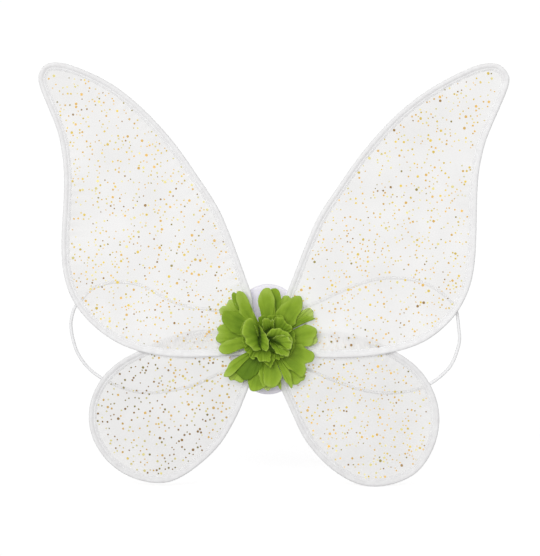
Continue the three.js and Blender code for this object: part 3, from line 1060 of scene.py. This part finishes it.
# Outer petals, clockwise from the upper left: each is a folded piece whose layers show side by
# side. The first layer of a piece lies behind the next.
OUTER_PETALS = [
    [
        fold((-16, 20, -9, 17), 17, 19, 0.34, [(-29.4, 29.7), (-33.2, 33.5), (-35.8, 40), (-36, 45),
            (-34.6, 47.6), (-31.5, 46), (-26, 40), (-20, 30)]),
        fold((-14, 12, -6, 12), 19, 23, 0.6, [(-28.5, 27), (-29.6, 32), (-31.5, 40), (-32, 46),
            (-29.5, 48.8), (-25, 47.2), (-20.5, 42), (-17.6, 34), (-14.5, 25)], sides=(-1.4, -0.6)),
    ],
    [
        fold((0, 16, 8, 16), 17, 19, 0.4, [(-2, 40), (0, 48), (4.1, 51.3), (8, 51), (10.8, 48.4),
            (12.4, 45), (13, 40), (11.5, 34), (9, 28)]),
        fold((-5, 14, 5, 14), 19, 22.5, 0.6, [(-7.5, 27), (-9.2, 33.5), (-10, 40), (-8.8, 45.4),
            (-5.2, 50.2), (-1.5, 51.6), (1.8, 51.3), (3.8, 48), (5.6, 43), (7, 36), (7.3, 29)],
            sides=(-0.8, -1.2)),
    ],
    [
        fold((6, 16, 14, 14), 17, 18.5, 0.66, [(9, 30), (11.5, 36), (12.8, 40), (15, 43.4),
            (18.3, 44), (21.4, 42.8), (25, 38), (26, 30)]),
        fold((6, 14, 17, 8), 18.5, 22.5, 0.55, [(7.2, 28), (14, 35), (22, 41), (25, 42.8),
            (28.5, 43.7), (32.2, 43.3), (34, 40.5), (34.3, 35), (33.4, 31), (31, 26), (28, 20.5),
            (27.2, 16)]),
    ],
    [
        fold((16, 12, 21, 9), 17.5, 19.5, 0.76, [(27, 21), (32.5, 28.3), (36, 30.3), (39.3, 31.7),
            (43.2, 30.5), (44.8, 28), (45.2, 24.4), (44.5, 21.5)], ruffle=0.9, waves=3),
        fold((17, 11, 22, 8), 18, 21, 0.46, [(36, 24), (44.3, 22.6), (46.8, 21), (44, 20.6),
            (39.7, 20), (35, 17.5), (29.4, 15.6)], sides=(0.5, -1)),
    ],
    [
        fold((16, -3, 18, 3), 16.8, 18, 0.74, [(38, -7), (44.7, -5.6), (47.6, -3.4), (49.4, -0.3),
            (49, 2.4), (47, 6), (44, 10)]),
        fold((16, -4, 17, 6), 18, 20.6, 0.56, [(36, -7), (40.5, -6), (44, -3.6), (45.6, 0.5),
            (47.4, 4), (48.4, 8), (47.6, 11.5), (44.5, 13.5), (41, 14.6), (36, 14.9), (31, 13.2),
            (27, 11)], sides=(0, 0.6)),
    ],
    [
        fold((8, -14, 16, -5), 19, 21.8, 0.5, [(20, -29), (27.5, -32.5), (33, -36.8), (35.8, -35.6),
            (37.6, -32), (38, -28.5), (36.4, -24), (40, -22.6), (43.9, -21.6), (45.8, -18.5),
            (45.9, -15.2), (44.2, -12.2), (41, -10.7), (37.5, -8), (33, -4)], sides=(0.8, 0)),
    ],
    [
        fold((10, -14, 16, -12), 16.8, 18.2, 0.6, [(22, -40), (24.4, -44.8), (29.5, -44),
            (32.4, -41.6), (35.3, -40.4), (36.6, -36.5), (36, -31), (34, -26)]),
        fold((6, -15, 11, -17), 19, 22.5, 0.58, [(12.9, -31.5), (15.2, -37.6), (19.8, -44.3),
            (23.2, -48), (24.3, -44.5), (23.2, -38), (21.6, -32), (20, -28)], sides=(-0.8, -1.4)),
    ],
    [
        fold((-3, -18, 3, -18), 16.4, 17.6, 0.76, [(-6, -44), (-4.2, -48.6), (-0.5, -50.8),
            (2.4, -48.8), (5, -47.5), (8, -46)]),
        fold((4, -18, 8, -18), 16.8, 18, 0.62, [(7, -42), (9.4, -46), (12.8, -49.6), (12.9, -45),
            (12.4, -38)]),
        fold((-6, -18, -3, -19), 18, 20.5, 0.54, [(-10, -34.2), (-8, -40), (-5.5, -46.6),
            (-3, -46.4), (-1.8, -40), (-2, -32)], sides=(-1, 0.8)),
        fold((-2, -16, 7, -17), 19, 22.5, 0.54, [(-5, -33), (-5, -38), (-3.6, -43), (-0.8, -46.2),
            (3.2, -47.2), (7.6, -46), (11, -42.4), (13.3, -37), (12.6, -32), (10.6, -27)],
            sides=(-0.4, -1.2)),
    ],
    [
        fold((-16, -12, -10, -16), 16.4, 17.8, 0.64, [(-36, -34), (-39.2, -37), (-37.4, -40.9),
            (-34, -39.8), (-31, -41.4), (-28, -42.8), (-24.8, -41.4), (-22, -38)]),
        fold((-9, -17, -4, -18), 16.8, 18.6, 0.46, [(-19, -36), (-20.3, -41), (-19.6, -45.4),
            (-18, -49.4), (-14.8, -51.2), (-10.2, -50.8), (-6.6, -48.8), (-4, -47), (-5, -38)]),
        fold((-15, -13, -5, -17), 18, 20, 0.24, [(-30, -24), (-32.6, -31), (-28, -36.6),
            (-23.2, -39.7), (-18, -39.4), (-14, -35.6), (-10.5, -32.5), (-6, -26)], rim_light=0.05),
        fold((-17, -10, -14, -14), 19, 23, 0.6, [(-29, -15.8), (-35, -20), (-39.2, -24),
            (-41.4, -28.5), (-43.6, -33.5), (-43.9, -35.9), (-39.8, -36.7), (-35.8, -34.7),
            (-32.3, -30.8), (-27.8, -26.2), (-22.5, -21)], sides=(-0.6, -1.4)),
    ],
    [
        fold((-17, 8, -17, 0), 17, 19, 0.56, [(-40, 16), (-44, 15.8), (-47.6, 14.6), (-50.8, 11.4),
            (-49.4, 7.2), (-51, 5), (-52, 1.6), (-50.4, -2), (-46.2, -4.4), (-42, -5)],
            rim_light=0.28),
        fold((-15, 3, -15, -6), 18.8, 22.5, 0.6, [(-32, 2.4), (-38, 0.3), (-44.3, -2.6),
            (-48, -5.4), (-49, -9.4), (-47, -12.4), (-43.6, -14.3), (-39.4, -14.1), (-34.8, -11.9),
            (-28, -9)], sides=(-1.2, 0.4)),
    ],
    [
        fold((-14, 14, -16, 8), 16.6, 18.2, 0.72, [(-30, 32), (-36.5, 40), (-39.6, 39.4), (-41, 36),
            (-42, 33.8), (-45.2, 33.7), (-48, 31.4), (-48.2, 28), (-45, 22)]),
        fold((-12, 14, -15, 5), 18, 21, 0.44, [(-27.5, 28.2), (-34, 28.6), (-39.4, 28.6),
            (-44, 28.4), (-46.2, 24.2), (-46, 20), (-43.2, 15), (-39.6, 10.8), (-34.8, 7.6),
            (-29.5, 4)], rim_light=0.1),
    ],
]

# The rosette in the middle: layers that stand forwards and open outwards round deep creases.
# The rosette's styles paint deeper shade at the roots and brighter light at the rims than the outer
# petals do.
WALL = {"rise": 0.6, "lean": 1.5, "even": 0.8, "root_dark": 0.5, "rim_light": 0.34,
        "glow": 0.86, "ruffle": 0.9, "waves": 3.0, "wobble": 0.3, "pleat": 0.35, "pleats": 4.0,
        "rows": 24}
FRILL = {"rise": 0.9, "lean": 1.1, "even": 0.6, "root_dark": 0.35, "rim_light": 0.26,
         "glow": 0.84, "ruffle": 1.0, "waves": 3.0, "wobble": 0.35, "pleat": 0.4,
         "pleats": 4.0}

# Each piece's style, the CAD nodes that it stands for and its layers.
ROSETTE = {
    "middle_frill": (FRILL, ["middle_petals"], [
        fold((-14, 8, -14, 0), 22, 28, 0.4, [(-23.5, 19), (-26.5, 14), (-27.2, 8), (-26, 2),
            (-24.6, -3), (-22, -8)]),
        fold((-6, 8, 6, 9), 22, 27, 0.4, [(-10, 18), (-9, 23), (-5, 24.4), (0, 24), (4, 25),
            (8, 24.6), (12, 24.6), (16, 23)]),
        fold((10, 4, 10, -6), 22, 27, 0.36, [(22, 14), (25.4, 9.6), (26.4, 4), (26.6, -2),
            (25.4, -8), (23, -13), (20, -17)]),
        fold((6, -8, 12, -6), 22.5, 28, 0.4, [(6.6, -14), (7.4, -18.5), (10.4, -19.4), (13, -17.4),
            (15, -17.4), (17.6, -15.4), (19, -12)]),
    ]),
    "lower_frill": (FRILL, [], [
        fold((-3, -12, 4, -12), 23, 27.5, 0.46, [(-4.6, -20), (-4, -22.4), (-1.2, -24), (1, -26.6),
            (3, -27), (4.4, -23.5), (6.4, -20.4), (6.6, -15)]),
        fold((-16, -3, -10, -7), 23, 28, 0.46, [(-22.8, -4), (-23.4, -9), (-21.8, -12),
            (-19.6, -12.5), (-18.4, -16), (-16.6, -18.6), (-13.6, -18.4), (-11.6, -15)]),
        fold((-10, -7, 0, -8), 24, 31, 0.5, [(-14, -12), (-15.4, -15.8), (-12.6, -16.4),
            (-10.4, -18), (-8.8, -20.6), (-6.4, -21.4), (-4, -20.2), (-1.2, -21.4), (1.6, -20.8),
            (2.6, -17), (2.4, -12)]),
    ]),
    "rosette_top_fold": (WALL, [], [
        fold((5, 9, 14, 6), 25, 33.5, 0.44, [(5, 20), (7, 22.5), (10.4, 23), (13, 22.4), (15.4, 22),
            (16.4, 19.4), (17.6, 17.6), (20.6, 15.6), (23.8, 13), (22.6, 9.6), (21, 7.5)]),
        fold((-3.5, 7.5, 3, 12), 26, 36, 0.52, [(-5, 12.5), (-5.6, 17), (-5.2, 21), (-2.6, 22),
            (-0.2, 21.8), (1.5, 20.5), (3, 19)]),
        fold((3, 11, 6, 10), 26, 37, 0.55, [(2.6, 19), (4.2, 21), (5.4, 20), (5.6, 17), (5.6, 13)]),
    ]),
    "rosette_left_fold": (WALL, ["rosette_outer_cup"], [
        fold((-9.5, 13, -9, -6), 27, 38, 0.5, [(-14, 20.5), (-18, 22), (-22.5, 20), (-24, 16),
            (-25.8, 11.5), (-25, 5.5), (-22.4, 1), (-22, -2.5), (-20, -4.2), (-16, -7.6),
            (-13.6, -9.8), (-10.3, -10.4), (-7, -9)], roll=2.0),
        fold((-9, 12, -8.5, 3), 27, 35, 0.52, [(-14, 15.5), (-12, 11), (-10.8, 7), (-9.5, 4)]),
        fold((-8, 11, -7.5, -5), 27, 39, 0.52, [(-9, 16), (-5, 10), (-1.6, 5), (0.2, 0), (0.6, -5),
            (-1.2, -10.6), (-4, -9), (-6, -8.5)]),
    ]),
    "rosette_right_fold": (WALL, ["rosette_inner_cup"], [
        fold((2, -1, 9, -4), 25, 33, 0.56, [(1.4, -3.2), (5.3, -8.5), (8.3, -12.9), (12.2, -14.1),
            (16.8, -15.6), (20.3, -14.9), (21.2, -11.8), (20, -9)]),
        fold((2, 0.5, 8, -4), 26, 32, 0.54, [(9, -5), (11.5, -7), (13.8, -8.3), (17.6, -9.5),
            (20.5, -9), (22.4, -8.2)]),
        fold((1, 3.5, 12, -2.5), 27, 40, 0.5, [(-1.2, 5.2), (0.5, 8.6), (2.8, 10.9), (6.4, 11.9),
            (10.3, 12.3), (13.8, 10.8), (17, 9), (20.6, 7.3), (22.8, 3.2), (24.6, -0.4), (23, -3)],
            roll=1.5),
        fold((2.5, 1.5, 12, -3), 27.5, 40.3, 0.6, [(5, 2.5), (8.5, 4.6), (12.3, 5.4), (16, 5.2),
            (19, 4), (21.6, 1), (23.4, -0.9), (23.4, -4.6), (22.0, -8), (19, -8.8)]),
    ]),
}


CORE_RINGS, CORE_SIDES = 14, 72
CORE_RADIUS, CORE_WIDENING = 13.0, 1.15  # mm, and how much wider than high it is
CORE_FRONT = 26.6  # mm forward of the pad's rear face


def add_flower_core():
    """The gathered middle of the flower, a tight crumple of chiffon deep between the folds."""
    # The core's tones are painted shade: darkest in the middle, a little lighter outwards.
    verts, tones = [], []
    for r in range(1, CORE_RINGS + 1):
        share = r / CORE_RINGS
        for k, (c, s) in enumerate(circle(CORE_SIDES)):
            angle = 2 * math.pi * k / CORE_SIDES
            crumple = 1.3 * math.sin(9 * angle + 3 * share) + 0.6 * math.sin(17 * angle - 5 * share)
            h = CORE_FRONT - 3.2 * share ** 2 + crumple * share
            radius = CORE_RADIUS * share * MM
            verts.append((radius * c * CORE_WIDENING, -h * MM, radius * s))
            tones.append(0.05 + 0.12 * share)
    verts.append((0, -26.0 * MM, 0))
    tones.append(0.02)
    core = add_object("chiffon_flower_core", verts, disc_side(CORE_RINGS, CORE_SIDES),
                      CHIFFON, tones=tones)
    thicken(core, 0.6 * MM)
    on_hub(core, "chiffon")


BASE_RIM = 0.7 * MM  # radius of the soft corner of the felt disc
BASE_LUMP = 0.12 * MM


def add_flower_base():
    """The green felt disc that the petals are sewn to."""
    low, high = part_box("flower_base")
    radius = (high.x - low.x) / 2
    rings, sides = 22, 110
    verts = []
    for facing, level in ((-1, low.y), (1, high.y)):
        for r in range(1, rings + 1):
            share = (r / rings) ** 0.7
            gap = min(1.0, (1 - share) * radius / BASE_RIM)
            drop = BASE_RIM * (1 - math.sqrt(1 - (1 - gap) ** 2))
            for c, s in circle(sides):
                x, z = radius * share * c, radius * share * s
                lump = noise.noise(Vector((x * 160, facing * 5.0, z * 160))) * BASE_LUMP
                verts.append((x, level - facing * (drop + abs(lump) * gap), z))
        verts.append((0, level, 0))
    disc = add_object("felt_flower_base", verts, disc_faces(rings, sides), GREEN_FELT)
    on_hub(disc, "felt", "flower_base")


TIE_STRANDS = 3
TIE_RADIUS = 0.42 * MM  # of one strand
TIE_SWING = TIE_RADIUS * 2 / math.sqrt(3)  # strands that touch side by side
TIE_PITCH = 3.2 * MM  # length of one turn of the twist
TIE_STEPS = 180
TIE_SIDES = 8  # vertices round a strand
KNOT_RADIUS = 1.15 * MM
KNOT_TURNS = 5
KNOT_STEPS = 16  # to a turn


def strand(points, radius):
    """A round closed tube along the points."""
    verts = []
    for point, heading in zip(points, tangents(points)):
        heading = Vector(heading)
        side = heading.orthogonal().normalized()
        up = heading.cross(side)
        verts += [tuple(Vector(point) + (c * side + s * up) * radius) for c, s in circle(TIE_SIDES)]
    return verts, tube_faces(len(points), TIE_SIDES)


def add_flower_tie():
    """The sewing thread through the flower: a three-strand twist ending in a small knot."""
    low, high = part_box("flower_thread")
    middle = (low + high) / 2
    front, back = low.y + KNOT_RADIUS, high.y - TIE_RADIUS

    def about_axis(swing, angle, y):
        return (middle.x + swing * math.cos(angle), y, middle.z + swing * math.sin(angle))

    tubes = []
    for n in range(TIE_STRANDS):
        points = []
        for i in range(TIE_STEPS + 1):
            y = back + (front - back) * i / TIE_STEPS
            angle = 2 * math.pi * ((back - y) / TIE_PITCH + n / TIE_STRANDS)
            points.append(about_axis(TIE_SWING, angle, y))
        tubes.append(strand(np.array(points), TIE_RADIUS))
    points = []
    for i in range(KNOT_TURNS * KNOT_STEPS + 1):
        share = i / (KNOT_TURNS * KNOT_STEPS)
        swing = KNOT_RADIUS * (0.55 + 0.45 * math.sin(math.pi * share))
        points.append(about_axis(swing, 2 * math.pi * i / KNOT_STEPS,
                                 front + KNOT_RADIUS * (1 - 2 * share) * 0.8))
    tubes.append(strand(np.array(points), TIE_RADIUS))
    tie = add_object("flower_thread_tie", *joined(tubes), GREEN_THREAD)
    on_hub(tie, "thread", "flower_thread")


def add_flower():
    add_flower_base()
    add_flower_tie()
    add_flower_core()
    for k, parts in enumerate(OUTER_PETALS, 1):
        add_chiffon(f"chiffon_outer_petal_{k}", {}, [f"outer_petal_{k}"], parts)
    for name, values in ROSETTE.items():
        add_chiffon("chiffon_" + name, *values)


add_flower()
